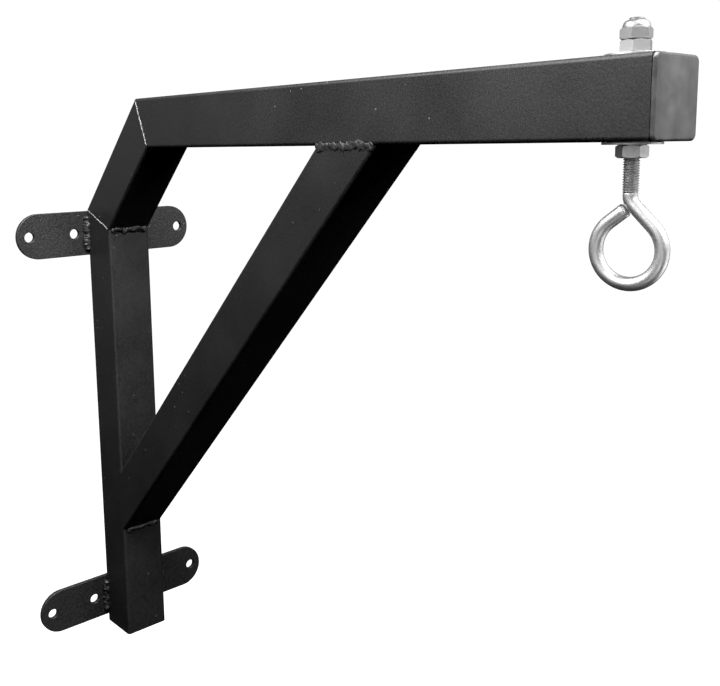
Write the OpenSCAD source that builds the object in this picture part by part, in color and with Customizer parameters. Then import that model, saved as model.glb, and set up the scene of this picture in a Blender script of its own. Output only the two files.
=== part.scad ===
// Wall bracket for hanging a punch bag: a welded box-section gallows with an adjustable eye bolt.
// +X points out from the wall along the arm, +Z is up.
// The origin is on the wall face, at the centre of the eight fixing holes.

/* [Box section] */
// Outside width of the square tube
tube_size = 50; // [44:1:60]
// Wall of the square tube
tube_wall = 2; // [1.5:0.5:4]
// Outside corner radius of the square tube
tube_corner = 3; // [2.5:0.5:5]

/* [Frame] */
// Height of the frame, from the foot of the post to the top of the arm
frame_height = 617; // [540:1:760]
// Distance from the wall to the open end of the arm tube
arm_reach = 692; // [580:1:860]
// Height and depth of the sloping knee between the post and the arm
knee_drop = 118; // [95:1:145]
// Height of the brace's upper edge on the post, above the foot
brace_foot = 202; // [160:1:250]
// Distance of the brace's upper edge on the arm, out from the post
brace_reach = 350; // [290:1:420]

/* [Wall straps] */
// Length of each strap, over its round ends
strap_length = 216; // [205:1:270]
// Width of each strap
strap_width = 50; // [40:1:60]
// Thickness of each strap
strap_thick = 5; // [4:0.5:8]
// Height between the two straps' centres
strap_spacing = 440; // [360:1:460]
// Height of the lower strap's centre above the foot of the post
strap_lift = 32; // [30:1:60]
// Distance between the outer holes of one strap
outer_spacing = 188; // [178:1:192]
// Distance between the inner holes of one strap
inner_spacing = 82; // [80:1:110]
// Diameter of the fixing holes
fixing_hole = 11; // [8:0.5:13]

/* [Eye bolt] */
// Nominal thread diameter
thread_size = 10; // [8:1:12]
// Thread pitch
thread_pitch = 1.5; // [1:0.25:2]
// Diameter of the plain rod that the eye is bent from
rod_size = 9; // [7:0.5:10]
// Inside radius of the eye
eye_inner = 16.5; // [14:0.5:22]
// Inside radius of the bend from the shank into the eye
bend_inner = 3.5; // [2:0.5:5]
// Slope of the eye's shoulder
shoulder_angle = 45; // [40:1:50]
// Length of bare thread below the lower nut
thread_below = 21; // [10:1:40]
// Length of bare thread above the lock nut
thread_above = 1.7; // [1:0.1:8]
// Length of plain shank between the thread and the bend
neck_length = 1.6; // [1:0.1:8]
// Distance from the bolt's axis to the end of the arm tube
bolt_inset = 24.5; // [24:1:40]
// How far the eye is turned from the line of the arm
eye_turn = 7; // [0:1:90]

/* [Nuts and washers] */
// Width across the flats of the nuts
nut_flats = 17; // [16:0.5:19]
// Height of the plain hexagon nuts
nut_height = 8; // [6:0.5:10]
// Height of the lock nut's hexagon
lock_hex_height = 7; // [5:0.5:8]
// Height of the whole lock nut, with its collar
lock_height = 11; // [9:0.5:12]
// Outside diameter of the two large washers
washer_size = 36; // [30:1:44]
// Thickness of the two large washers
washer_thick = 1.5; // [1:0.25:3]

/* [End cap] */
// Thickness of the cap's cover plate
cap_plate = 3; // [2:0.5:5]
// Depth of the cap's plug inside the tube
cap_plug = 14; // [10:1:15]
// Wall of the cap's plug
cap_wall = 1.8; // [1.2:0.2:2.6]

/* [Welds] */
// Radius of the weld beads between the tubes
bead_tube = 4.5; // [3:0.5:6]
// Radius of the weld beads between the post and the straps
bead_strap = 5; // [3:0.5:6]

/* [Clearances] */
// Clearance between the thread and a bore that turns on it, on the radius
thread_gap = 0.05; // [0.02:0.01:0.1]
// Clearance between the bolt and a hole it passes through, on the radius
hole_gap = 0.5; // [0.25:0.05:1]
// Clearance between faces that turn on each other
face_gap = 0.05; // [0.02:0.01:0.2]
// Clearance between the cap's ribs and the inside of the tube
cap_gap = 0.15; // [0.05:0.05:0.3]
// Gap between the cut end of the rod and the shank
tail_gap = 0.4; // [0.3:0.1:1.5]

/* [Hidden] */
$fn = 64;

half = tube_size / 2;
far = 2000;

// Heights, measured from the centre of the fixing holes
foot_z = -strap_spacing / 2 - strap_lift;
top_z = foot_z + frame_height;
under_z = top_z - tube_size;
upper_z = strap_spacing / 2;
lower_z = -strap_spacing / 2;

// Depths, measured from the wall
back_x = strap_thick;
front_x = back_x + tube_size;

// Slope of the knee, and how far the planes of its two mitres lean over
knee_slope = 45;
low_mitre = 90 - knee_slope / 2;
high_mitre = knee_slope / 2;

// Corners of the knee, outside and inside, as [x, z]
mitre_run = tube_size * tan(high_mitre);
knee_low_out = [back_x, top_z - knee_drop];
knee_high_out = [back_x + knee_drop, top_z];
knee_low_in = [front_x, knee_low_out[1] - mitre_run];
knee_high_in = [knee_high_out[0] + mitre_run, under_z];

// Corners of the brace where it meets the post and the arm, as [x, z]
brace_low_back = [front_x, foot_z + brace_foot];
brace_high_back = [front_x + brace_reach, under_z];
brace_rise = brace_high_back[1] - brace_low_back[1];
brace_angle = atan2(brace_rise, brace_reach);
brace_low_front = [front_x, brace_low_back[1] - tube_size / cos(brace_angle)];
brace_high_front = [brace_high_back[0] + tube_size / sin(brace_angle), under_z];

// The stack on the bolt, from the arm outwards
bolt_x = arm_reach - bolt_inset;
upper_washer_z = top_z + face_gap;
upper_nut_z = upper_washer_z + washer_thick + face_gap;
lock_nut_z = upper_nut_z + nut_height + face_gap;
tip_z = lock_nut_z + lock_height + thread_above;
lower_washer_z = under_z - face_gap - washer_thick;
lower_nut_z = lower_washer_z - face_gap - nut_height;
thread_end_z = lower_nut_z - thread_below;

// The eye, in its own plane: the shank's bend, the shoulder and the round
rod = rod_size / 2;
bend = bend_inner + rod;
eye_round = eye_inner + rod;
bend_z = thread_end_z - neck_length;
shoulder_z = bend_z - bend * tan((90 - shoulder_angle) / 2);
eye_z = shoulder_z - eye_round / cos(shoulder_angle);
tail_reach = norm([bend, bend_z - eye_z]);
tail_angle = acos(eye_round / tail_reach) - atan2(bend, bend_z - eye_z);
tail_length = sqrt(tail_reach * tail_reach - eye_round * eye_round) - bend - rod - tail_gap;
shoulder_length = eye_round * tan(shoulder_angle) - bend * tan((90 - shoulder_angle) / 2);
tail_chamfer = 1.2;
rod_lap = 0.3;
rod_step = 0.03;

// Nut details
nut_corner = nut_flats / cos(30) / 2;
nut_chamfer = 1.7;
collar_size = nut_flats - 0.8;
ring_size = thread_size + 0.35 * (collar_size - thread_size);
ring_height = 2.4;
lip = 0.8;

// Rounded square outline, centred
module rounded_square(size, radius) {
    inset = size / 2 - radius;
    square([size, 2 * inset], center = true);
    square([2 * inset, size], center = true);
    for (x = [-inset, inset], y = [-inset, inset])
        translate([x, y]) circle(radius);
}

// Section of the box tube
module tube_section() {
    difference() {
        rounded_square(tube_size, tube_corner);
        rounded_square(tube_size - 2 * tube_wall, tube_corner - tube_wall + 0.5);
    }
}

// Everything beyond a plane through a point, whose normal is raised by an angle above +X
module beyond(point, rise) {
    translate([point[0], 0, point[1]])
        rotate([0, -rise, 0])
            translate([0, -far / 2, -far / 2]) cube(far);
}

// Long bar of a section, centred on a line through a point and raised by an angle above +X
module bar_along(point, rise) {
    translate([point[0], 0, point[1]])
        rotate([0, 90 - rise, 0])
            translate([0, 0, -far / 2]) linear_extrude(far) children();
}

// The lines of the four tubes, before their ends are cut, with the section given as the child
module post_line() {
    translate([back_x + half, 0, foot_z]) linear_extrude(frame_height) children();
}

module knee_line() {
    bar_along(knee_low_out + half * [sin(knee_slope), -cos(knee_slope)], knee_slope) children();
}

module arm_line() {
    translate([0, 0, under_z + half])
        rotate([0, 90, 0]) linear_extrude(arm_reach) children();
}

module brace_line() {
    middle = (brace_low_back + brace_high_back) / 2;
    bar_along(middle + half * [sin(brace_angle), -cos(brace_angle)], brace_angle) children();
}

module post_tube() {
    color("#2a2b2d")
        difference() {
            post_line() tube_section();
            beyond(knee_low_out, low_mitre);
        }
}

module knee_tube() {
    color("#2a2b2d")
        intersection() {
            difference() {
                knee_line() tube_section();
                beyond(knee_high_out, high_mitre);
            }
            beyond(knee_low_out, low_mitre);
        }
}

module arm_tube() {
    color("#2a2b2d")
        difference() {
            intersection() {
                arm_line() tube_section();
                beyond(knee_high_out, high_mitre);
            }
            translate([bolt_x, 0, under_z - 1])
                cylinder(r = thread_size / 2 + hole_gap, h = tube_size + 2);
        }
}

module brace_tube() {
    color("#2a2b2d")
        intersection() {
            brace_line() tube_section();
            translate([front_x, -far / 2, under_z - far]) cube(far);
        }
}

// Flat wall strap with round ends and four fixing holes
module strap(z) {
    color("#303134")
        translate([0, 0, z])
            rotate([90, 0, 90])
                linear_extrude(strap_thick)
                    difference() {
                        union() {
                            square([strap_length - strap_width, strap_width], center = true);
                            for (side = [-1, 1])
                                translate([side * (strap_length - strap_width) / 2, 0])
                                    circle(strap_width / 2);
                        }
                        for (side = [-1, 1], spacing = [outer_spacing, inner_spacing])
                            translate([side * spacing / 2, 0]) circle(fixing_hole / 2);
                    }
}

module upper_strap() {
    strap(upper_z);
}

module lower_strap() {
    strap(lower_z);
}

// Weld bead along a line from one point to another, as a round rod
module bead(from, to, radius) {
    run = to - from;
    translate(from)
        rotate([0, acos(run[2] / norm(run)), atan2(run[1], run[0])])
            cylinder(r = radius, h = norm(run));
}

// Bead across the flat of the tube, through a corner given as [x, z]
module cross_bead(corner) {
    reach = half - tube_corner - 0.5;
    bead([corner[0], -reach, corner[1]], [corner[0], reach, corner[1]], bead_tube);
}

module post_knee_weld() {
    color("#232426")
        difference() {
            cross_bead(knee_low_in);
            post_line() square(tube_size, center = true);
            knee_line() square(tube_size, center = true);
        }
}

module knee_arm_weld() {
    color("#232426")
        difference() {
            cross_bead(knee_high_in);
            knee_line() square(tube_size, center = true);
            arm_line() square(tube_size, center = true);
        }
}

// Bead between the brace and the underside of the arm, at one corner of the brace
module brace_arm_weld(corner) {
    color("#232426")
        difference() {
            cross_bead(corner);
            brace_line() square(tube_size, center = true);
            arm_line() square(tube_size, center = true);
        }
}

// Raised bead over the joint of the brace and the arm, filling the rounded edge of the arm
module brace_arm_side_weld(side) {
    reach = side * (half - bead_tube / 2);
    root = half - tube_corner / 3;
    start = [brace_high_back[0], reach, brace_high_back[1]];
    end = [brace_high_front[0], reach, brace_high_front[1]];
    color("#232426")
        difference() {
            bead(start, end, bead_tube);
            arm_line() rounded_square(tube_size, tube_corner);
            translate([0, -half, under_z - tube_size]) cube([arm_reach, tube_size, tube_size]);
            translate([0, -root, under_z - tube_size]) cube([arm_reach, 2 * root, 2 * tube_size]);
        }
}

// Bead between the brace and the front of the post, at one corner of the brace
module brace_post_weld(corner) {
    color("#232426")
        difference() {
            cross_bead(corner);
            brace_line() square(tube_size, center = true);
            post_line() square(tube_size, center = true);
        }
}

module brace_arm_weld_back() {
    brace_arm_weld(brace_high_back);
}

module brace_arm_weld_front() {
    brace_arm_weld(brace_high_front);
}

module brace_arm_weld_left() {
    brace_arm_side_weld(-1);
}

module brace_arm_weld_right() {
    brace_arm_side_weld(1);
}

module brace_post_weld_upper() {
    brace_post_weld(brace_low_back);
}

module brace_post_weld_lower() {
    brace_post_weld(brace_low_front);
}

// Upright bead between the post and one strap, on one side of the post
module strap_weld(z, side) {
    reach = strap_width / 2 - 4;
    color("#232426")
        difference() {
            bead([back_x, side * half, z - reach], [back_x, side * half, z + reach], bead_strap);
            post_line() rounded_square(tube_size, tube_corner);
            translate([back_x - far, -far / 2, -far / 2]) cube(far);
        }
}

module upper_strap_weld_left() {
    strap_weld(upper_z, -1);
}

module upper_strap_weld_right() {
    strap_weld(upper_z, 1);
}

module lower_strap_weld_left() {
    strap_weld(lower_z, -1);
}

module lower_strap_weld_right() {
    strap_weld(lower_z, 1);
}

// Moulded cap: a cover plate and a hollow plug with three ribs round it
module arm_end_cap() {
    inside = tube_size - 2 * tube_wall;
    rib_size = inside - 2 * cap_gap;
    plug_size = rib_size - 3;
    rib_corner = 1.5;
    color("#3a3b3d")
        translate([arm_reach, 0, under_z + half])
            rotate([0, 90, 0]) {
                linear_extrude(cap_plate) rounded_square(tube_size, tube_corner);
                difference() {
                    union() {
                        translate([0, 0, -cap_plug])
                            linear_extrude(cap_plug) rounded_square(plug_size, rib_corner);
                        for (i = [1:3])
                            translate([0, 0, -i * cap_plug / 4 - 0.6])
                                linear_extrude(1.2) rounded_square(rib_size, rib_corner + 0.5);
                    }
                    translate([0, 0, -cap_plug - 1])
                        linear_extrude(cap_plug + 1)
                            rounded_square(plug_size - 2 * cap_wall, 1);
                }
            }
}

// Length of rod bent about a centre given as [x, z], from a start angle through a sweep
module rod_bend(centre, radius, start, sweep) {
    translate([centre[0], 0, centre[1]])
        rotate([90, 0, 0])
            rotate([0, 0, start])
                rotate_extrude(angle = sweep) translate([radius, 0]) circle(rod);
}

// Straight length of rod from a point given as [x, z] along a direction, let into the bend behind it
module rod_straight(point, direction, length) {
    translate([point[0], 0, point[1]])
        rotate([0, 90 - direction, 0])
            translate([0, 0, -rod_lap]) cylinder(r = rod - rod_step, h = length + rod_lap);
}

// Cut end of the rod, with its edge chamfered
module rod_tail() {
    start = [-eye_round * sin(tail_angle), eye_z + eye_round * cos(tail_angle)];
    straight = tail_length - tail_chamfer;
    rod_straight(start, tail_angle, straight);
    translate([start[0], 0, start[1]])
        rotate([0, 90 - tail_angle, 0])
            translate([0, 0, straight])
                cylinder(r1 = rod - rod_step, r2 = rod - tail_chamfer, h = tail_chamfer);
}

// Threaded shank, turned down to the eye bent from plain rod
module eye_bolt() {
    thread = thread_size / 2;
    tip_chamfer = thread_pitch * 0.7;
    round_end = eye_round * [sin(shoulder_angle), cos(shoulder_angle)];
    color("#c9ccd0")
        translate([bolt_x, 0, 0])
            rotate([0, 0, eye_turn]) {
                translate([0, 0, thread_end_z])
                    cylinder(r = thread, h = tip_z - thread_end_z - tip_chamfer);
                translate([0, 0, tip_z - tip_chamfer])
                    cylinder(r1 = thread, r2 = thread - tip_chamfer, h = tip_chamfer);
                rod_straight([0, bend_z], 90, neck_length + rod_lap);
                rod_bend([bend, bend_z], bend, 180, 90 - shoulder_angle);
                rod_straight([0, eye_z] + round_end, 180 - shoulder_angle, shoulder_length + rod_lap);
                rod_bend([0, eye_z], eye_round, 90 + tail_angle, 360 - shoulder_angle - tail_angle);
                rod_tail();
            }
}

// Large plain washer
module washer(z) {
    color("#d3d5d8")
        translate([bolt_x, 0, z])
            difference() {
                cylinder(r = washer_size / 2, h = washer_thick);
                translate([0, 0, -1])
                    cylinder(r = thread_size / 2 + hole_gap, h = washer_thick + 2);
            }
}

module lower_washer() {
    washer(lower_washer_z);
}

module upper_washer() {
    washer(upper_washer_z);
}

// Hexagon with the corners of its ends turned off
module hexagon(height, low, high) {
    intersection() {
        cylinder(r = nut_corner, h = height, $fn = 6);
        rotate_extrude()
            polygon([[0, 0], [nut_corner - low, 0], [nut_corner, low * 0.65],
                [nut_corner, height - high * 0.65], [nut_corner - high, height], [0, height]]);
    }
}

// Bore that turns on the thread
module thread_bore(height) {
    translate([0, 0, -1]) cylinder(r = thread_size / 2 + thread_gap, h = height + 2);
}

module hex_nut(z, turn) {
    color("#c4c7cb")
        translate([bolt_x, 0, z])
            rotate([0, 0, turn])
                difference() {
                    hexagon(nut_height, nut_chamfer, nut_chamfer);
                    thread_bore(nut_height);
                }
}

module lower_hex_nut() {
    hex_nut(lower_nut_z, 27);
}

module upper_hex_nut() {
    hex_nut(upper_nut_z, 51);
}

// Lock nut: a hexagon with a domed collar that holds a nylon ring
module lock_nut() {
    collar = collar_size / 2;
    dome = lock_height - lock_hex_height;
    color("#c4c7cb")
        translate([bolt_x, 0, lock_nut_z])
            rotate([0, 0, 44])
                difference() {
                    union() {
                        hexagon(lock_hex_height, nut_chamfer, nut_corner - collar);
                        rotate_extrude()
                            polygon([[0, lock_hex_height - 1], [collar, lock_hex_height - 1],
                                [collar, lock_height - 0.75 * dome],
                                [collar - 0.15 * dome, lock_height - 0.35 * dome],
                                [collar - 0.35 * dome, lock_height - 0.1 * dome],
                                [collar - 0.55 * dome, lock_height], [0, lock_height]]);
                    }
                    thread_bore(lock_height);
                    translate([0, 0, lock_height - lip - ring_height])
                        cylinder(r = ring_size / 2, h = ring_height);
                }
}

module lock_nut_ring() {
    color("#2f5fa8")
        translate([bolt_x, 0, lock_nut_z + lock_height - lip - ring_height])
            difference() {
                cylinder(r = ring_size / 2, h = ring_height);
                thread_bore(ring_height);
            }
}

post_tube();
knee_tube();
arm_tube();
brace_tube();
upper_strap();
lower_strap();
post_knee_weld();
knee_arm_weld();
brace_arm_weld_back();
brace_arm_weld_front();
brace_arm_weld_left();
brace_arm_weld_right();
brace_post_weld_upper();
brace_post_weld_lower();
upper_strap_weld_left();
upper_strap_weld_right();
lower_strap_weld_left();
lower_strap_weld_right();
arm_end_cap();
eye_bolt();
lower_washer();
upper_washer();
lower_hex_nut();
upper_hex_nut();
lock_nut();
lock_nut_ring();
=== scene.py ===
import math

import bpy
from mathutils import Matrix, Vector, noise


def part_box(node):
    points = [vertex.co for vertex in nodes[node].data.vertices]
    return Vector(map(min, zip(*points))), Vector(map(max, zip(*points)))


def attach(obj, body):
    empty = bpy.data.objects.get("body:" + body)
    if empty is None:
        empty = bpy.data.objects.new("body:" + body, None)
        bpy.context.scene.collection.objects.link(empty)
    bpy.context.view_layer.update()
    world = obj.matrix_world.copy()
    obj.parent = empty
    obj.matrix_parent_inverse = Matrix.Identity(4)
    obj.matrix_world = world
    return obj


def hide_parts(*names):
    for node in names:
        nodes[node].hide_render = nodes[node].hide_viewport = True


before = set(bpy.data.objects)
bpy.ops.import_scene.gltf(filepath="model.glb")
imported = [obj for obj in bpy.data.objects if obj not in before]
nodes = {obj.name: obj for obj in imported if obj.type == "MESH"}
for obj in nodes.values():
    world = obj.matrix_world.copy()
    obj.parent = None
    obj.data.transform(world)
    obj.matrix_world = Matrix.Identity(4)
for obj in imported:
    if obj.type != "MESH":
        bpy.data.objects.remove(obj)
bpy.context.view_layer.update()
scene = bpy.context.scene
mm = 0.001
print("frame loaded:", len(nodes), "CAD nodes")


def hexColour(code):
    code = code.lstrip("#")
    channels = [int(code[i:i + 2], 16) / 255 for i in (0, 2, 4)]
    linear = [c / 12.92 if c <= 0.04045 else ((c + 0.055) / 1.055) ** 2.4 for c in channels]
    return (*linear, 1.0)


# settings hold attributes or socket values, links go from an input's name to an output socket
def addNode(tree, kind, settings=None, links=None):
    node = tree.nodes.new(kind)
    for key, value in (settings or {}).items():
        if isinstance(key, str) and hasattr(node, key):
            setattr(node, key, value)
        else:
            node.inputs[key].default_value = value
    for key, output in (links or {}).items():
        tree.links.new(output, node.inputs[key])
    return node


def perMetre(sizeMm):  # texture scale that makes one feature this many millimetres wide
    return 1.0 / (sizeMm * mm)


def emptyMaterial(name):
    material = bpy.data.materials.new(name)
    material.use_nodes = True
    material.node_tree.nodes.clear()
    return material, material.node_tree


def cornersMm(name):  # lowest and highest corner of a CAD node, to a thousandth of a millimetre
    return [Vector([round(c / mm, 3) for c in corner]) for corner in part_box(name)]


def makePiece(name, points, faces, material, body="root", replaces=None):
    mesh = bpy.data.meshes.new(name)
    mesh.from_pydata([tuple(p) for p in points], [], faces)
    mesh.validate()
    mesh.polygons.foreach_set("use_smooth", [True] * len(mesh.polygons))
    mesh.update()
    piece = bpy.data.objects.new(name, mesh)
    scene.collection.objects.link(piece)
    mesh.materials.append(material)
    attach(piece, body)
    if replaces:
        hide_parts(replaces)
    return piece


def loftRings(rings):  # rings with the same count of points, joined into one closed skin
    count = len(rings[0])
    points = [p for ring in rings for p in ring]
    faces = []
    for r in range(len(rings) - 1):
        low, high = r * count, (r + 1) * count
        for i in range(count):
            j = (i + 1) % count
            faces.append((low + i, low + j, high + j, high + i))
    for first, flip in ((0, True), ((len(rings) - 1) * count, False)):
        middle = sum((Vector(p) for p in points[first:first + count]), Vector()) / count
        points.append(middle)
        hub = len(points) - 1
        for i in range(count):
            a, b = first + i, first + (i + 1) % count
            faces.append((b, a, hub) if flip else (a, b, hub))
    return points, faces


cameraSetup = {
    "spot": (0.9604, -0.5034, 0.3159),  # metres, in the CAD frame
    "azimuth": 48.80,
    "elevation": 8.80,
    "roll": 0.79,
    "lens": 45.45,
    "sensor": 36.0,
    "shift": (0.049, -0.080),
    "clip": (0.02, 50),
}


def makeCamera(setup):
    azimuth, elevation, roll = (math.radians(setup[k]) for k in ("azimuth", "elevation", "roll"))
    back = Vector((
        math.sin(azimuth) * math.cos(elevation),
        -math.cos(azimuth) * math.cos(elevation),
        math.sin(elevation),
    ))
    right = Vector((math.cos(azimuth), math.sin(azimuth), 0))
    up = back.cross(right)
    tiltedRight = right * math.cos(roll) - up * math.sin(roll)
    tiltedUp = right * math.sin(roll) + up * math.cos(roll)
    data = bpy.data.cameras.new("camera")
    data.lens = setup["lens"]
    data.sensor_width = setup["sensor"]
    data.shift_x, data.shift_y = setup["shift"]
    data.clip_start, data.clip_end = setup["clip"]
    camera = bpy.data.objects.new("camera", data)
    turn = Matrix((tiltedRight, tiltedUp, back)).transposed().to_4x4()
    camera.matrix_world = Matrix.Translation(setup["spot"]) @ turn
    scene.collection.objects.link(camera)
    scene.camera = camera


makeCamera(cameraSetup)
print("camera placed")


noiseLow, noiseHigh = 0.3, 0.7  # nearly all of a noise texture's values lie between these

powderCoatLook = {
    "dark": "#0d0d0d",
    "light": "#1a1a1a",
    "speck": "#7a7a7a",
    "roughness": (0.36, 0.50),
    "cloudMm": 60,         # slow change of gloss from the spraying
    "peelMm": 1.6,         # orange peel of a cured powder film
    "peelDepth": 0.30,
    "gritMm": 1.8,         # drawn coarser than real grit, so that it shows
    "gritDepth": 0.32,
    "grains": (0.36, 0.64),  # grit below the first is fully dark, above the second fully light
    "speckCellMm": 12,     # one grain of dust for each cell of this size
    "speckEdge": (0.034, 0.046),  # radius of its core and of its rim, as shares of the cell
}


# polyester powder coat, sprayed dry and oven cured: a dark satin skin with orange peel,
# fine grit and the odd speck of dust
def powderCoat(name, look):
    material, tree = emptyMaterial(name)
    place = addNode(tree, "ShaderNodeTexCoord").outputs["Object"]
    clouds = addNode(
        tree, "ShaderNodeTexNoise",
        {"Scale": perMetre(look["cloudMm"]), "Detail": 3.0},
        {"Vector": place},
    )
    grit = addNode(
        tree, "ShaderNodeTexNoise",
        {"Scale": perMetre(look["gritMm"]), "Detail": 2.0},
        {"Vector": place},
    )
    peel = addNode(
        tree, "ShaderNodeTexNoise",
        {"Scale": perMetre(look["peelMm"]), "Detail": 1.0},
        {"Vector": place},
    )
    dust = addNode(
        tree, "ShaderNodeTexVoronoi",
        {"Scale": perMetre(look["speckCellMm"]), "Randomness": 1.0},
        {"Vector": place},
    )
    core, rim = look["speckEdge"]
    speck = addNode(
        tree, "ShaderNodeMapRange",
        {"From Min": core, "From Max": rim, "To Min": 1.0, "To Max": 0.0},
        {"Value": dust.outputs["Distance"]},
    )
    sparse, dense = look["grains"]
    grains = addNode(
        tree, "ShaderNodeMapRange",
        {"From Min": sparse, "From Max": dense},
        {"Value": grit.outputs["Fac"]},
    )
    tones = addNode(
        tree, "ShaderNodeMix",
        {"data_type": "RGBA", 6: hexColour(look["dark"]), 7: hexColour(look["light"])},
        {0: grains.outputs["Result"]},
    )
    dotted = addNode(
        tree, "ShaderNodeMix",
        {"data_type": "RGBA", 7: hexColour(look["speck"])},
        {0: speck.outputs["Result"], 6: tones.outputs[2]},
    )
    smooth, rough = look["roughness"]
    satin = addNode(
        tree, "ShaderNodeMapRange",
        {"From Min": noiseLow, "From Max": noiseHigh, "To Min": smooth, "To Max": rough},
        {"Value": clouds.outputs["Fac"]},
    )
    peelBump = addNode(
        tree, "ShaderNodeBump",
        {"Strength": look["peelDepth"], "Distance": 0.2 * mm},
        {"Height": peel.outputs["Fac"]},
    )
    gritBump = addNode(
        tree, "ShaderNodeBump",
        {"Strength": look["gritDepth"], "Distance": 0.1 * mm},
        {"Height": grit.outputs["Fac"], "Normal": peelBump.outputs["Normal"]},
    )
    skin = addNode(
        tree, "ShaderNodeBsdfPrincipled",
        {"IOR": 1.5},
        {
            "Base Color": dotted.outputs[2],
            "Roughness": satin.outputs["Result"],
            "Normal": gritBump.outputs["Normal"],
        },
    )
    addNode(tree, "ShaderNodeOutputMaterial", {}, {"Surface": skin.outputs["BSDF"]})
    return material


zincLook = {
    "bright": "#e4e4e4",
    "dull": "#c8c8c8",
    "roughness": (0.38, 0.48),
    "patchMm": 4.0,
    "grainMm": 0.5,        # drawn coarser than real plating grain, so that it shows
    "grainDepth": 0.02,
}


# bright zinc electroplate over drawn or pressed steel: silvery, with soft dull patches
# and a fine grain
def zincPlate(name, look):
    material, tree = emptyMaterial(name)
    place = addNode(tree, "ShaderNodeTexCoord").outputs["Object"]
    patches = addNode(
        tree, "ShaderNodeTexNoise",
        {"Scale": perMetre(look["patchMm"]), "Detail": 4.0},
        {"Vector": place},
    )
    grain = addNode(
        tree, "ShaderNodeTexNoise",
        {"Scale": perMetre(look["grainMm"]), "Detail": 2.0},
        {"Vector": place},
    )
    tones = addNode(
        tree, "ShaderNodeMix",
        {"data_type": "RGBA", 6: hexColour(look["bright"]), 7: hexColour(look["dull"])},
        {0: patches.outputs["Fac"]},
    )
    smooth, rough = look["roughness"]
    sheen = addNode(
        tree, "ShaderNodeMapRange",
        {"From Min": noiseLow, "From Max": noiseHigh, "To Min": smooth, "To Max": rough},
        {"Value": patches.outputs["Fac"]},
    )
    bump = addNode(
        tree, "ShaderNodeBump",
        {"Strength": look["grainDepth"], "Distance": 0.1 * mm},
        {"Height": grain.outputs["Fac"]},
    )
    skin = addNode(
        tree, "ShaderNodeBsdfPrincipled",
        {"Metallic": 1.0},
        {
            "Base Color": tones.outputs[2],
            "Roughness": sheen.outputs["Result"],
            "Normal": bump.outputs["Normal"],
        },
    )
    addNode(tree, "ShaderNodeOutputMaterial", {}, {"Surface": skin.outputs["BSDF"]})
    return material


polyethyleneLook = {
    "dark": "#282828",
    "light": "#454545",
    "roughness": (0.32, 0.44),
    "blotchMm": 15,
    "sunkDepth": 0.5,
    "poreMm": 0.7,         # drawn coarser than real moulded texture, so that it shows
    "poreDepth": 0.10,
}


# injection moulded polyethylene: a waxy dark grey with a blotchy sheen, where the skin has sunk a little;
# its colour also turns lighter in the same blotches, which paints part of that sheen
def polyethylene(name, look):
    material, tree = emptyMaterial(name)
    place = addNode(tree, "ShaderNodeTexCoord").outputs["Object"]
    blotches = addNode(
        tree, "ShaderNodeTexNoise",
        {"Scale": perMetre(look["blotchMm"]), "Detail": 2.0},
        {"Vector": place},
    )
    paintedSheenShare = addNode(
        tree, "ShaderNodeMapRange",
        {"From Min": noiseLow, "From Max": noiseHigh},
        {"Value": blotches.outputs["Fac"]},
    )
    texture = addNode(
        tree, "ShaderNodeTexNoise",
        {"Scale": perMetre(look["poreMm"]), "Detail": 1.0},
        {"Vector": place},
    )
    # lighter colour in the blotches: painted sheen
    tones = addNode(
        tree, "ShaderNodeMix",
        {"data_type": "RGBA", 6: hexColour(look["dark"]), 7: hexColour(look["light"])},
        {0: paintedSheenShare.outputs["Result"]},
    )
    smooth, rough = look["roughness"]
    sheen = addNode(
        tree, "ShaderNodeMapRange",
        {"From Min": noiseLow, "From Max": noiseHigh, "To Min": smooth, "To Max": rough},
        {"Value": blotches.outputs["Fac"]},
    )
    sunk = addNode(
        tree, "ShaderNodeBump",
        {"Strength": look["sunkDepth"], "Distance": 0.4 * mm},
        {"Height": blotches.outputs["Fac"]},
    )
    pores = addNode(
        tree, "ShaderNodeBump",
        {"Strength": look["poreDepth"], "Distance": 0.1 * mm},
        {"Height": texture.outputs["Fac"], "Normal": sunk.outputs["Normal"]},
    )
    skin = addNode(
        tree, "ShaderNodeBsdfPrincipled",
        {"IOR": 1.5},
        {
            "Base Color": tones.outputs[2],
            "Roughness": sheen.outputs["Result"],
            "Normal": pores.outputs["Normal"],
        },
    )
    addNode(tree, "ShaderNodeOutputMaterial", {}, {"Surface": skin.outputs["BSDF"]})
    return material


nylonLook = {
    "dark": "#27508f",
    "light": "#3a6ab0",
    "roughness": 0.42,
    "grainMm": 0.6,        # drawn coarser than real cloudiness, so that it shows
}


def nylon(name, look):  # moulded nylon insert: a slightly cloudy blue with a soft gloss
    material, tree = emptyMaterial(name)
    place = addNode(tree, "ShaderNodeTexCoord").outputs["Object"]
    grain = addNode(
        tree, "ShaderNodeTexNoise",
        {"Scale": perMetre(look["grainMm"]), "Detail": 2.0},
        {"Vector": place},
    )
    tones = addNode(
        tree, "ShaderNodeMix",
        {"data_type": "RGBA", 6: hexColour(look["dark"]), 7: hexColour(look["light"])},
        {0: grain.outputs["Fac"]},
    )
    skin = addNode(
        tree, "ShaderNodeBsdfPrincipled",
        {"Roughness": look["roughness"], "IOR": 1.53},
        {"Base Color": tones.outputs[2]},
    )
    addNode(tree, "ShaderNodeOutputMaterial", {}, {"Surface": skin.outputs["BSDF"]})
    return material


strapCoatLook = dict(powderCoatLook, light="#222222", peelDepth=0.6, gritDepth=3.0)
# the welds' grain is darker than the tubes' though it is the same paint: painted shade that keeps the
# beads from catching light
shadedWeldCoatLook = dict(powderCoatLook, light="#141414", roughness=(0.44, 0.58), gritDepth=0.25)
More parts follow.
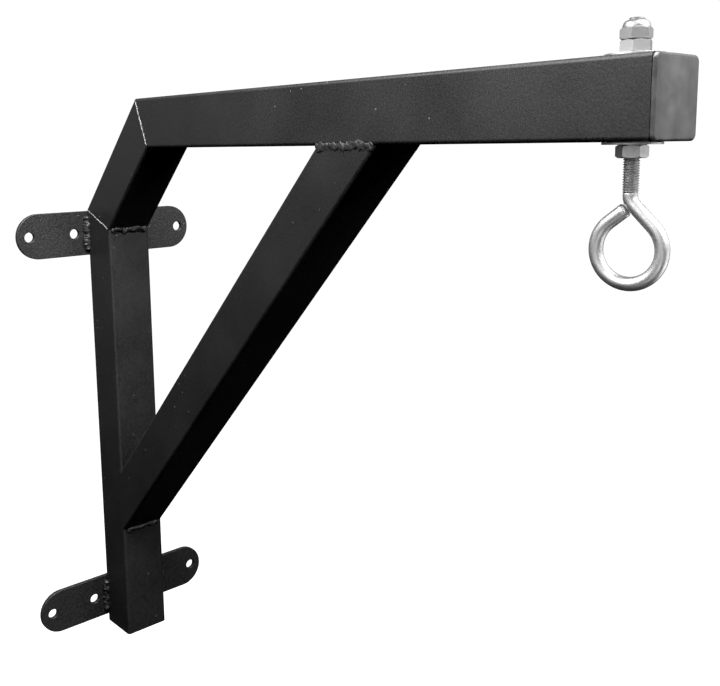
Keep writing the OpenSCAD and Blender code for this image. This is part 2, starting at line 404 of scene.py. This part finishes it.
# the light grey grain of the ground seams is a painted highlight, standing in for light caught along each
# hairline
seamHighlightCoatLook = dict(powderCoatLook, light="#9a9a9a", gritDepth=0.30)
threadZincLook = dict(zincLook, bright="#b6b6b6", dull="#8c8c8c", roughness=(0.50, 0.60))
nutZincLook = dict(zincLook, bright="#cdcdcd", dull="#b2b2b2", grainDepth=0.03)
washerZincLook = dict(zincLook, grainDepth=0.04)

tubeCoat = powderCoat("satinBlackPowderCoat", powderCoatLook)
strapCoat = powderCoat("satinBlackPowderCoatOnPlate", strapCoatLook)
shadedWeldCoat = powderCoat("satinBlackPowderCoatOnWeldPaintedShade", shadedWeldCoatLook)
seamHighlightCoat = powderCoat("groundWeldCoatWithPaintedHighlight", seamHighlightCoatLook)
rodZinc = zincPlate("brightZincOnDrawnRod", zincLook)
threadZinc = zincPlate("dullZincOnRolledThread", threadZincLook)
nutZinc = zincPlate("brightZincOnPressedNut", nutZincLook)
washerZinc = zincPlate("brightZincOnPunchedWasher", washerZincLook)
capPlastic = polyethylene("mouldedPolyethylene", polyethyleneLook)
insertNylon = nylon("mouldedNylonInsert", nylonLook)
print("materials made")


easeSetup = {
    "joinMm": 0.002,       # points closer than this become one
    "flatDegrees": 0.5,
    "sharpDegrees": 40,    # edges sharper than this are eased
    "segments": 3,
    "flatWeight": 100,
}


def dressNode(name, material, edgeMm=0.0):  # finish on a CAD piece, with its sharp edges eased
    piece = nodes[name]
    piece.data.materials.clear()
    piece.data.materials.append(material)
    if edgeMm:
        join = piece.modifiers.new("join", "WELD")
        join.merge_threshold = easeSetup["joinMm"] * mm
        flats = piece.modifiers.new("flats", "DECIMATE")  # makes each flat face whole, so it shades flat
        flats.decimate_type = "DISSOLVE"
        flats.angle_limit = math.radians(easeSetup["flatDegrees"])
        ease = piece.modifiers.new("ease", "BEVEL")
        ease.width = edgeMm * mm
        ease.segments = easeSetup["segments"]
        ease.limit_method = "ANGLE"
        ease.angle_limit = math.radians(easeSetup["sharpDegrees"])
        ease.use_clamp_overlap = True
        even = piece.modifiers.new("even", "WEIGHTED_NORMAL")
        even.mode = "FACE_AREA"
        even.weight = easeSetup["flatWeight"]


nodeFinishes = {  # nodes, their finish, and how far their edges are eased in millimetres
    "tubes": (("post_tube", "knee_tube", "arm_tube", "brace_tube"), tubeCoat, 0.0),
    "straps": (("upper_strap", "lower_strap"), strapCoat, 0.6),
    "washers": (("lower_washer", "upper_washer"), washerZinc, 0.25),
    "nuts": (("lower_hex_nut", "upper_hex_nut", "lock_nut"), nutZinc, 0.2),
    "insert": (("lock_nut_ring",), insertNylon, 0.0),
}
for names, finish, edge in nodeFinishes.values():
    for name in names:
        dressNode(name, finish, edge)
print("tubes, straps, washers and nuts finished")


weldLook = {
    "ringStepMm": 0.45,
    "around": 22,
    "rippleMm": 3.1,       # distance between the frozen ripples of the bead
    "rippleDepth": 0.09,
    "rippleMean": 0.6,
    "bowMm": 1.3,          # how far each ripple bows forward at its middle
    "driftMm": 0.8,        # how uneven the ripples' spacing is, and over what length
    "driftOverMm": 4.0,
    "lumpMm": 6.0,
    "lumpDepth": 0.34,
    "fineMm": 1.8,
    "fineAround": 2.4,
    "fineDepth": 0.10,
    "wanderMm": 0.8,       # how far the bead strays to each side, and over what length
    "wanderOverMm": 9.0,
    "endTaperMm": 3.0,
    "endShare": 0.02,      # square of the bead's thickness at its very end, against its full one
    "buriedShare": 0.55,   # how deep the bead reaches into the steel, against its height
    "seedStep": (13.7, 5.3, 9.1),
}
sideWeldLook = dict(
    weldLook, rippleDepth=0.04, lumpMm=4.5, lumpDepth=0.75, fineDepth=0.45, wanderMm=1.5,
)
strapWeldLook = dict(
    weldLook, rippleMm=6.5, rippleDepth=0.10, lumpMm=5.0, lumpDepth=0.50, fineDepth=0.20,
)
shallowWeldLook = dict(
    weldLook, rippleDepth=0.05, lumpMm=5.0, lumpDepth=0.55, fineDepth=0.25, wanderMm=1.2,
)
seamLook = dict(
    weldLook, around=10, rippleMm=2.2, rippleDepth=0.2, lumpMm=3.5, lumpDepth=0.5,
    wanderMm=0.5, endTaperMm=1.0,
)


# bead of weld metal from start to end, its section an ellipse with radii along across and out,
# all in millimetres
def lumpyBead(name, start, end, across, out, radii, seed, look, material=shadedWeldCoat, replaces=None):
    start, end = Vector(start) * mm, Vector(end) * mm
    across, out = Vector(across).normalized(), Vector(out).normalized()
    along = (end - start).normalized()
    lengthMm = (end - start).length / mm
    count = int(lengthMm / look["ringStepMm"])
    shift = Vector([seed * step for step in look["seedStep"]])
    rings = []
    for k in range(count + 1):
        s = lengthMm * k / count
        fromEnd = min(1.0, min(s, lengthMm - s) / look["endTaperMm"])
        taper = math.sqrt(max(look["endShare"], 1 - (1 - fromEnd) ** 2))
        wander = noise.noise(shift + Vector((s / look["wanderOverMm"], 0, 0))) * look["wanderMm"]
        drift = noise.noise(shift + Vector((s / look["driftOverMm"], 7, 0))) * look["driftMm"]
        centre = start + along * s * mm + across * wander * mm
        ring = []
        for i in range(look["around"]):
            angle = 2 * math.pi * i / look["around"]
            side, rise = math.cos(angle), math.sin(angle)
            ripple = abs(math.sin(math.pi * (s + look["bowMm"] * side + drift) / look["rippleMm"]))
            lump = noise.noise(shift + Vector((s / look["lumpMm"], side, rise)))
            fine = noise.noise(shift + Vector((
                s / look["fineMm"], look["fineAround"] * side, look["fineAround"] * rise,
            )))
            swell = 1 + look["rippleDepth"] * (ripple - look["rippleMean"])
            swell += look["lumpDepth"] * lump + look["fineDepth"] * fine
            if rise < 0:
                rise *= look["buriedShare"]
            ring.append(centre + taper * swell * mm * (
                across * radii[0] * side + out * radii[1] * rise
            ))
        rings.append(ring)
    if across.cross(out).dot(along) < 0:
        rings = [ring[::-1] for ring in rings]
    points, faces = loftRings(rings)
    makePiece(name, points, faces, material, replaces=replaces)


postLow, postHigh = cornersMm("post_tube")
armLow, armHigh = cornersMm("arm_tube")
kneeLow, kneeHigh = cornersMm("knee_tube")
braceLow, braceHigh = cornersMm("brace_tube")
tubeHalf = postHigh.y
postFront = postHigh.x
armUnder = armLow.z
braceBackReach = cornersMm("brace_arm_weld_left")[0].x   # where the brace's upper edge meets the arm
braceBackFoot = cornersMm("brace_post_weld_upper")[0].z  # and the post
roomSide, upward, downward = (1, 0, 0), (0, 0, 1), (0, 0, -1)


def makeCrossBeads(beads):  # beads that run across the tubes from side to side
    for name, (x, z, reach, across, out, radii, seed, look, node) in beads.items():
        lumpyBead(name, (x, -reach, z), (x, reach, z), across, out, radii, seed, look, replaces=node)


armBeads = {  # x, z, half length, directions across and out, radii in millimetres, seed, look, node
    "kneePostBead": (
        postFront + 0.3, kneeLow.z - 0.29, tubeHalf - 2.5,
        upward, roomSide, (3.6, 2.1), 1, shallowWeldLook, "post_knee_weld",
    ),
    "kneeArmBead": (
        kneeHigh.x + 0.49, armUnder - 0.2, tubeHalf - 3.0,
        roomSide, downward, (3.4, 2.2), 2, weldLook, "knee_arm_weld",
    ),
    "braceArmBackBead": (
        braceBackReach - 0.4, armUnder - 0.2, tubeHalf - 4.0,
        roomSide, downward, (4.2, 3.4), 3, weldLook, "brace_arm_weld_back",
    ),
    "braceArmFrontBead": (
        braceHigh.x - 2.87, armUnder, tubeHalf - 4.0,
        roomSide, downward, (2.2, 1.9), 4, shallowWeldLook, "brace_arm_weld_front",
    ),
}
makeCrossBeads(armBeads)

sideBead = {
    "radii": (3.5, 0.75),
    "underArm": 0.6,
    "sunk": 0.3,
    "pastBack": 1.0,
    "shortOfFront": 3.97,
    "seed": 5,
}
for side, word in ((-1, "Left"), (1, "Right")):
    y = side * (tubeHalf - sideBead["sunk"])
    z = armUnder - sideBead["underArm"]
    lumpyBead(
        "braceArm" + word + "Bead",
        (braceBackReach - sideBead["pastBack"], y, z),
        (braceHigh.x - sideBead["shortOfFront"], y, z),
        upward, (0, side, 0), sideBead["radii"], sideBead["seed"] + side, sideWeldLook,
        replaces="brace_arm_weld_" + word.lower(),
    )

braceFootBeads = {  # the same values as in armBeads
    "bracePostUpperBead": (
        postFront + 0.3, braceBackFoot + 0.5, tubeHalf - 4.0,
        upward, roomSide, (3.9, 3.2), 7, weldLook, "brace_post_weld_upper",
    ),
    "bracePostLowerBead": (
        postFront + 0.3, braceLow.z - 0.76, tubeHalf - 4.0,
        upward, roomSide, (2.8, 1.6), 8, shallowWeldLook, "brace_post_weld_lower",
    ),
}
makeCrossBeads(braceFootBeads)

strapBead = {
    "radii": (4.6, 4.2),
    "proud": 0.6,
    "clear": 0.4,
    "half": 20.0,
    "seeds": {"upper": 16, "lower": 11},
}
for level in ("upper", "lower"):
    low, high = cornersMm(level + "_strap")
    height = (low.z + high.z) / 2
    x = high.x + strapBead["proud"]
    for side, word in ((-1, "left"), (1, "right")):
        y = side * (tubeHalf + strapBead["clear"])
        lumpyBead(
            level + word.capitalize() + "StrapBead",
            (x, y, height - strapBead["half"]), (x, y, height + strapBead["half"]),
            (0, 1, 0), roomSide, strapBead["radii"], strapBead["seeds"][level] + side, strapWeldLook,
            replaces=level + "_strap_weld_" + word,
        )
print("weld beads made")


groundSeamSize = {
    "radii": (0.75, 0.42),
    "armSeam": ((1.5, -3.0), (-0.81, 2.2)),  # how far each end stands off the tube's corner
    "postSeam": ((3.0, -1.3), (-2.5, 1.11)),
    "topShort": 4.0,                         # the top seam stops this far from each side
}


def groundSeam(name, start, end, out, seed):  # hairline left where a flush weld was ground back
    across = (Vector(end) - Vector(start)).cross(Vector(out))
    lumpyBead(
        # the seam's light grey finish is a painted highlight along the hairline
        name, start, end, across, out, groundSeamSize["radii"], seed, seamLook, material=seamHighlightCoat,
    )


def offCorner(x, y, z, move):
    return (x + move[0], y, z + move[1])


for side, word in ((-1, "Left"), (1, "Right")):
    y = side * tubeHalf
    top, under = groundSeamSize["armSeam"]
    groundSeam(
        "kneeArmSeam" + word,
        offCorner(armLow.x, y, armHigh.z, top),
        offCorner(kneeHigh.x, y, armUnder, under),
        (0, side, 0), 21 + side,
    )
    back, front = groundSeamSize["postSeam"]
    groundSeam(
        "kneePostSeam" + word,
        offCorner(postLow.x, y, postHigh.z, back),
        offCorner(postFront, y, kneeLow.z, front),
        (0, side, 0), 25 + side,
    )
reach = tubeHalf - groundSeamSize["topShort"]
groundSeam(
    "kneeArmSeamTop",
    (armLow.x, -reach, armHigh.z),
    (armLow.x, reach, armHigh.z),
    upward, 29,
)
print("ground seams made")


capSizes = {  # millimetres
    "edge": 1.7,           # rounding round the face
    "corner": 4.4,
    "dome": 0.25,
    "plate": 2.95,
    "backEdge": 0.5,
    "plugHalf": 22.8,
    "plugCorner": 2.0,
    "plugWall": 1.8,
    "lead": (0.8, 0.4),    # length and depth of the plug's lead-in
    "leadCorner": 1.6,
    "insideCorner": 1.0,
    "cornerShrink": 0.8,   # how much the corners tighten as the face edge rounds over
    "crownShares": (0.93, 0.8, 0.6, 0.35, 0.1),
    "edgeSteps": 6,
    "perCorner": 8,
}


def roundedSquare(half, corner, perCorner):  # points round a square with round corners, as (y, z)
    corner = max(0.05, corner)
    ring = []
    for quarter in range(4):
        turn = math.pi / 2 * quarter
        cy = (half - corner) * (1 if quarter in (0, 3) else -1)
        cz = (half - corner) * (1 if quarter in (0, 1) else -1)
        for i in range(perCorner + 1):
            angle = turn + math.pi / 2 * i / perCorner
            ring.append((cy + corner * math.cos(angle), cz + corner * math.sin(angle)))
    return ring


def makeEndCap(cap):
    low, high = cornersMm("arm_end_cap")
    middle = (low + high) / 2
    half = (high.y - low.y) / 2
    back = high.x - cap["plate"]
    face = high.x - cap["dome"]
    edge, corner, plug, shrink = cap["edge"], cap["corner"], cap["plugHalf"], cap["cornerShrink"]
    leadLength, leadDepth = cap["lead"]
    profile = [  # x, half width and corner radius, from inside the plug round to the face
        (back, plug - cap["plugWall"], cap["insideCorner"]),
        (low.x, plug - cap["plugWall"], cap["insideCorner"]),
        (low.x, plug - leadDepth, cap["leadCorner"]),
        (low.x + leadLength, plug, cap["plugCorner"]),
        (back, plug, cap["plugCorner"]),
        (back, half - cap["backEdge"], corner - cap["backEdge"]),
        (back + cap["backEdge"], half, corner),
    ]
    for i in range(cap["edgeSteps"] + 1):
        angle = math.pi / 2 * i / cap["edgeSteps"]
        inset = edge * (1 - math.cos(angle))
        profile.append((face - edge * (1 - math.sin(angle)), half - inset, corner - inset * shrink))
    for share in cap["crownShares"]:
        rise = cap["dome"] * (1 - share ** 2)
        profile.append((face + rise, (half - edge) * share, (corner - edge * shrink) * share))
    rings = []
    for x, reach, radius in profile:
        rings.append([
            Vector((x, middle.y + y, middle.z + z)) * mm
            for y, z in roundedSquare(reach, radius, cap["perCorner"])
        ])
    points, faces = loftRings(rings)
    makePiece("armEndCap", points, faces, capPlastic, replaces="arm_end_cap")


makeEndCap(capSizes)
print("end cap made")


eyeBoltSizes = {  # millimetres and degrees
    "x": 667.5,
    "turn": 7.0,
    "threadRadius": 5.0,
    "pitch": 1.5,
    "threadDepth": 0.81,
    "crest": 0.125,        # share of half a turn that is flat on the crest, and that the flank takes
    "flank": 0.625,
    "tip": 387.35,
    "threadEnd": 284.4,
    "runOutTurns": 1.5,
    "tipChamfer": 1.05,
    "rod": 4.5,
    "neck": 1.6,
    "bendInner": 3.5,
    "eyeInner": 16.5,
    "shoulder": 45.0,
    "tailGap": 0.4,
    "tailChamfer": 1.2,
    "around": 48,
    "ringsPerPitch": 12,
    "bendSteps": 14,
    "roundSteps": 110,
    "neckShares": (0.0, 0.35, 0.7),
    "tailShares": (0.3, 0.6, 0.85, 1.0),
}


def threadRadiusAt(phase, bolt):  # sixty degree thread, flat on its crest and its root
    away = abs((phase % 1.0) - 0.5) * 2          # 0 on the crest, 1 in the root
    slope = min(1.0, max(0.0, (away - bolt["crest"]) / bolt["flank"]))
    return bolt["threadRadius"] - bolt["threadDepth"] * slope


def eyeBoltPath(bolt):  # centre line in the eye's own plane, as (u, z, direction, kind)
    rod = bolt["rod"]
    bend = bolt["bendInner"] + rod
    eyeRound = bolt["eyeInner"] + rod
    shoulder = math.radians(bolt["shoulder"])
    bendZ = bolt["threadEnd"] - bolt["neck"]
    eyeZ = bendZ - bend * math.tan((math.pi / 2 - shoulder) / 2) - eyeRound / math.cos(shoulder)
    tailReach = math.hypot(bend, bendZ - eyeZ)
    tailAngle = math.acos(eyeRound / tailReach) - math.atan2(bend, bendZ - eyeZ)
    tailLength = math.sqrt(tailReach ** 2 - eyeRound ** 2) - bend - rod - bolt["tailGap"]

    path = []
    z = bolt["tip"]
    while z > bolt["threadEnd"]:
        path.append((0.0, z, -math.pi / 2, "thread"))
        z -= bolt["pitch"] / bolt["ringsPerPitch"]
    for share in bolt["neckShares"]:
        path.append((0.0, bolt["threadEnd"] - bolt["neck"] * share, -math.pi / 2, "rod"))
    for i in range(bolt["bendSteps"] + 1):
        angle = math.pi + (math.pi / 2 - shoulder) * i / bolt["bendSteps"]
        u, z = bend + bend * math.cos(angle), bendZ + bend * math.sin(angle)
        path.append((u, z, angle + math.pi / 2, "rod"))
    sweep = 2 * math.pi - shoulder - tailAngle
    for i in range(bolt["roundSteps"] + 1):
        angle = math.pi / 2 - shoulder - sweep * i / bolt["roundSteps"]
        u, z = eyeRound * math.cos(angle), eyeZ + eyeRound * math.sin(angle)
        path.append((u, z, angle - math.pi / 2, "rod"))
    tailStart = Vector((-eyeRound * math.sin(tailAngle), eyeZ + eyeRound * math.cos(tailAngle)))
    tailWay = Vector((math.cos(tailAngle), math.sin(tailAngle)))
    for share in bolt["tailShares"]:
        spot = tailStart + tailWay * (tailLength - bolt["tailChamfer"]) * share
        path.append((spot.x, spot.y, tailAngle, "rod"))
    spot = tailStart + tailWay * tailLength
    path.append((spot.x, spot.y, tailAngle, "cut"))
    return path


def boltRadiusAt(kind, z, angle, bolt):
    rod = bolt["rod"]
    if kind == "rod":
        return rod
    if kind == "cut":
        return rod - bolt["tailChamfer"]
    radius = threadRadiusAt(z / bolt["pitch"] - angle / (2 * math.pi), bolt)
    radius = min(radius, bolt["threadRadius"] - bolt["tipChamfer"] + (bolt["tip"] - z))
    runOut = min(1.0, (z - bolt["threadEnd"]) / (bolt["runOutTurns"] * bolt["pitch"]))
    return radius * runOut + min(radius, rod) * (1 - runOut)


def makeEyeBolt(bolt):
    turn = Matrix.Rotation(math.radians(bolt["turn"]), 3, "Z")
    side = turn @ Vector((0, 1, 0))
    rings = []
    for u, z, direction, kind in eyeBoltPath(bolt):
        centre = turn @ Vector((u, 0, z)) + Vector((bolt["x"], 0, 0))
        out = turn @ Vector((-math.sin(direction), 0, math.cos(direction)))
        ring = []
        for i in range(bolt["around"]):
            angle = 2 * math.pi * i / bolt["around"]
            radius = boltRadiusAt(kind, z, angle, bolt)
            ring.append((centre + (out * math.cos(angle) + side * math.sin(angle)) * radius) * mm)
        rings.append(ring)
    points, faces = loftRings(rings)
    piece = makePiece(
        "eyeBolt", points, faces, rodZinc, body="eye_bolt", replaces="eye_bolt",
    )
    piece.data.materials.append(threadZinc)
    for polygon in piece.data.polygons:
        if polygon.center.z > bolt["threadEnd"] * mm:
            polygon.material_index = 1


makeEyeBolt(eyeBoltSizes)
print("eye bolt made")


studio = {
    "floorDrop": -1.25,
    "floorHalf": 14.0,
    "floorColour": "#f6f6f4",
    "floorGlow": 0.9,
    "sky": ((0.36, 0.02), (0.52, 0.30), (0.95, 0.22)),  # height from 0 to 1, and brightness there
    "backdrop": 1.05,
    "blackLevel": 0.003,   # keeps the shaded paint truly dark
}


def makeFloor(setup):
    reach, drop = setup["floorHalf"], setup["floorDrop"]
    mesh = bpy.data.meshes.new("floor")
    corners = [(-reach, -reach, drop), (reach, -reach, drop), (reach, reach, drop), (-reach, reach, drop)]
    mesh.from_pydata(corners, [], [(0, 1, 2, 3)])
    floor = bpy.data.objects.new("floor", mesh)
    scene.collection.objects.link(floor)
    material, tree = emptyMaterial("palePaintedFloor")  # matt white paint, evenly lit
    colour = hexColour(setup["floorColour"])
    skin = addNode(tree, "ShaderNodeBsdfPrincipled", {
        "Base Color": colour,
        "Roughness": 0.9,
        "Emission Color": colour,
        "Emission Strength": setup["floorGlow"],
    })
    addNode(tree, "ShaderNodeOutputMaterial", {}, {"Surface": skin.outputs["BSDF"]})
    mesh.materials.append(material)
    floor.visible_glossy = False
    floor.visible_diffuse = False


def makeSky(setup):  # a soft grey room for the object, and a plain white backdrop behind it
    world = bpy.data.worlds.new("studio")
    world.use_nodes = True
    tree = world.node_tree
    tree.nodes.clear()
    place = addNode(tree, "ShaderNodeTexCoord").outputs["Generated"]
    height = addNode(tree, "ShaderNodeSeparateXYZ", {}, {"Vector": place})
    share = addNode(
        tree, "ShaderNodeMapRange",
        {"From Min": -1.0, "From Max": 1.0},
        {"Value": height.outputs["Z"]},
    )
    ramp = addNode(tree, "ShaderNodeValToRGB", {}, {"Fac": share.outputs["Result"]})
    stops = ramp.color_ramp.elements
    while len(stops) < len(setup["sky"]):
        stops.new(0.5)
    for stop, (position, value) in zip(stops, setup["sky"]):
        stop.position = position
        stop.color = (value, value, value, 1)
    lit = addNode(tree, "ShaderNodeBackground", {"Strength": 1.0}, {"Color": ramp.outputs["Color"]})
    seen = addNode(
        tree, "ShaderNodeBackground",
        {"Color": (1, 1, 1, 1), "Strength": setup["backdrop"]},
    )
    rays = addNode(tree, "ShaderNodeLightPath")
    both = addNode(
        tree, "ShaderNodeMixShader", {},
        {0: rays.outputs["Is Camera Ray"], 1: lit.outputs["Background"], 2: seen.outputs["Background"]},
    )
    addNode(tree, "ShaderNodeOutputWorld", {}, {"Surface": both.outputs["Shader"]})
    scene.world = world


softboxes = {  # place, what it points at, size, watts, and what takes its light
    "key": ((1.35, 0.25, 1.15), (0.66, 0.0, 0.30), 0.9, 36.0, "paint"),
    "near": ((0.00, -0.62, 0.95), (0.08, 0.0, 0.30), 0.6, 8.0, "all"),
    "armSheen": ((0.42, -0.72, 0.72), (0.62, 0.0, 0.34), 0.45, 2.3, "all"),
    "overhead": ((0.70, -0.25, 1.00), (0.05, 0.0, 0.25), 0.6, 39.0, "paint"),
    "capSheen": ((1.30, 1.00, 0.55), (0.70, 0.0, 0.34), 0.7, 1.4, "all"),
    "boltKey": ((1.35, 0.25, 1.15), (0.66, 0.0, 0.30), 1.5, 28.0, "bolt"),
    "boltSky": ((0.60, -0.70, 0.85), (0.66, 0.0, 0.28), 1.2, 4.5, "bolt"),
    "boltFill": ((1.10, -0.75, -0.20), (0.66, 0.0, 0.25), 0.6, 1.3, "all"),
    "boltEdge": ((1.25, 0.40, -0.12), (0.66, 0.0, 0.25), 0.7, 2.5, "bolt"),
}


def makeSoftboxes(boxes):
    platedNodes = nodeFinishes["nuts"][0] + nodeFinishes["washers"][0]
    plated = [nodes[name] for name in platedNodes] + [bpy.data.objects["eyeBolt"]]
    takers = {}
    for word, state in (("bolt", "INCLUDE"), ("paint", "EXCLUDE")):
        takers[word] = bpy.data.collections.new(word + "Takers")
        for piece in plated:
            takers[word].objects.link(piece)
        for member in takers[word].collection_objects:
            member.light_linking.link_state = state
    for name, (place, target, size, watts, taker) in boxes.items():
        data = bpy.data.lights.new(name, "AREA")
        data.shape = "SQUARE"
        data.size = size
        data.energy = watts
        lamp = bpy.data.objects.new(name, data)
        lamp.location = place
        way = Vector(target) - Vector(place)
        lamp.rotation_mode = "QUATERNION"
        lamp.rotation_quaternion = way.to_track_quat("-Z", "Y")
        scene.collection.objects.link(lamp)
        if taker in takers:
            lamp.light_linking.receiver_collection = takers[taker]


makeFloor(studio)
makeSky(studio)
makeSoftboxes(softboxes)
scene.view_settings.view_transform = "Standard"
scene.view_settings.use_curve_mapping = True
scene.view_settings.curve_mapping.black_level = (studio["blackLevel"],) * 3
scene.view_settings.curve_mapping.update()
print("studio lit")
